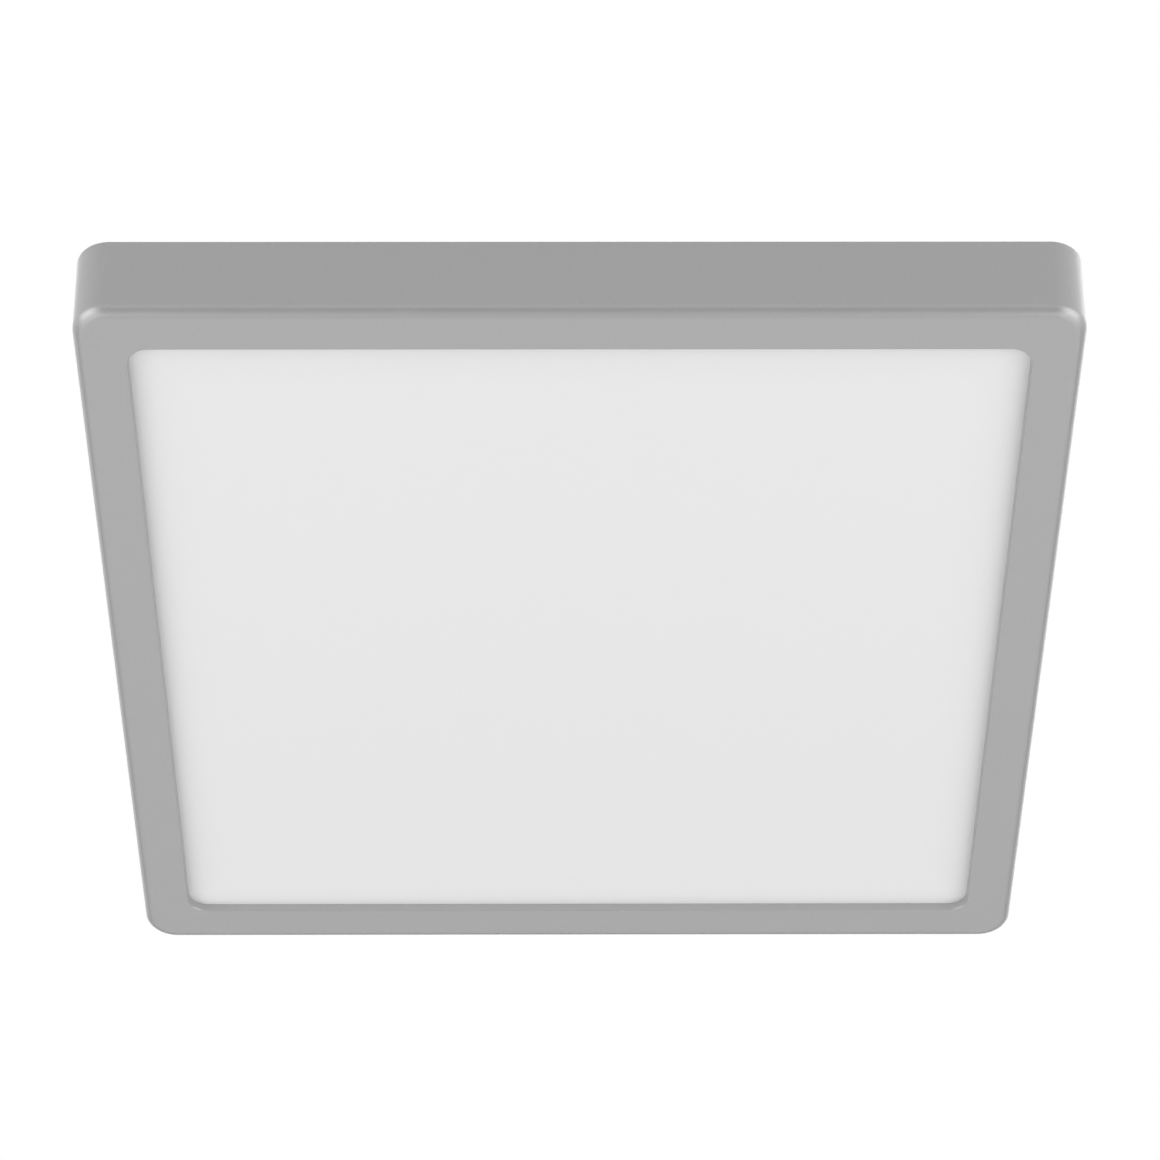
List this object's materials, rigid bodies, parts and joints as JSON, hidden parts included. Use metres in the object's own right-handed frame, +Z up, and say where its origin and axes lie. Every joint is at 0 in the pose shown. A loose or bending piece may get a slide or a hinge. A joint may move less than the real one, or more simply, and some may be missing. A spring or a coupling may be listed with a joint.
{
  "type": "surface ceiling light",
  "caption": "Slim square LED ceiling light: grey moulded frame, recessed opal diffuser, edge-lit panel and driver inside, snapped onto a steel ceiling bracket.",
  "frame": {"origin": "on the ceiling plane, at the middle of the bracket", "axes": "+Z up into the ceiling, +X and +Y along the sides; the diffuser looks down along -Z"},
  "size_m": [0.285, 0.285, 0.028],
  "materials": {
    "casing_grey": "satin grey metallic lacquer on moulded plastic",
    "opal_white": "opal white acrylic, fine matt face",
    "clear_acrylic": "clear acrylic with polished edges",
    "reflector_white": "white film",
    "zinc_steel": "zinc-coated sheet",
    "bracket_steel": "zinc-coated sheet",
    "spring_steel": "blued spring strip",
    "rivet_steel": "bright zinc",
    "screw_steel": "bright zinc",
    "strip_white": "white solder mask on aluminium",
    "led_phosphor": "phosphor-filled resin",
    "link_amber": "polyimide film",
    "plug_white": "moulded nylon",
    "wire_red": "PVC insulation",
    "wire_black": "PVC insulation",
    "wire_brown": "PVC insulation",
    "wire_blue": "PVC insulation",
    "wire_earth": "green and yellow PVC insulation",
    "driver_white": "moulded polycarbonate, fine grain",
    "board_green": "solder mask",
    "core_dark": "ferrite and tape",
    "capacitor_sleeve": "shrink sleeve",
    "filter_yellow": "moulded box",
    "terminal_white": "moulded polyamide",
    "contact_brass": "tinned brass",
    "button_grey": "moulded",
    "button_blue": "moulded",
    "button_green": "moulded",
    "tag_tin": "tinned copper",
    "saddle_white": "moulded nylon",
    "grommet_rubber": "matt rubber"
  },
  "bodies": {
    "bracket": {"ceiling_bracket": "bracket_steel", "cable_grommet": "grommet_rubber", "clip_rivets": "rivet_steel", "spring_clip_right": "spring_steel", "spring_clip_back": "spring_steel", "spring_clip_left": "spring_steel", "spring_clip_front": "spring_steel"},
    "light": {"frame": "casing_grey", "diffuser": "opal_white", "light_guide": "clear_acrylic", "reflector": "reflector_white", "back_plate": "zinc_steel", "back_plate_screws": "screw_steel", "strip_links": "link_amber", "strip_plug": "plug_white", "output_wire_positive": "wire_red", "output_wire_negative": "wire_black", "driver_case": "driver_white", "driver_cover": "driver_white", "driver_board": "board_green", "driver_transformer": "core_dark", "driver_capacitors": "capacitor_sleeve", "driver_filter": "filter_yellow", "driver_screws": "screw_steel", "terminal_base": "terminal_white", "terminal_block": "terminal_white", "terminal_contacts": "contact_brass", "terminal_screws": "screw_steel", "live_wire": "wire_brown", "neutral_wire": "wire_blue", "earth_wire": "wire_earth", "earth_tag": "tag_tin", "earth_screw": "screw_steel", "wire_saddles": "saddle_white", "led_strip_right": "strip_white", "leds_right": "led_phosphor", "led_strip_back": "strip_white", "leds_back": "led_phosphor", "led_strip_left": "strip_white", "leds_left": "led_phosphor", "led_strip_front": "strip_white", "leds_front": "led_phosphor"},
    "live_button": {"release_button_live": "button_grey"},
    "neutral_button": {"release_button_neutral": "button_blue"},
    "earth_button": {"release_button_earth": "button_green"}
  },
  "joints": [
    {"name": "light_pull_off", "type": "slide", "parent": "bracket", "child": "light", "axis": [0, 0, -1], "range_m": [0, 0.05], "deforming": ["spring_clip_right", "spring_clip_back", "spring_clip_left", "spring_clip_front"]},
    {"name": "live_release", "type": "slide", "parent": "light", "child": "live_button", "axis": [0, 0, -1], "range_m": [0, 0.0015], "stiffness_N_per_m": 400},
    {"name": "neutral_release", "type": "slide", "parent": "light", "child": "neutral_button", "axis": [0, 0, -1], "range_m": [0, 0.0015], "stiffness_N_per_m": 400},
    {"name": "earth_release", "type": "slide", "parent": "light", "child": "earth_button", "axis": [0, 0, -1], "range_m": [0, 0.0015], "stiffness_N_per_m": 400}
  ]
}
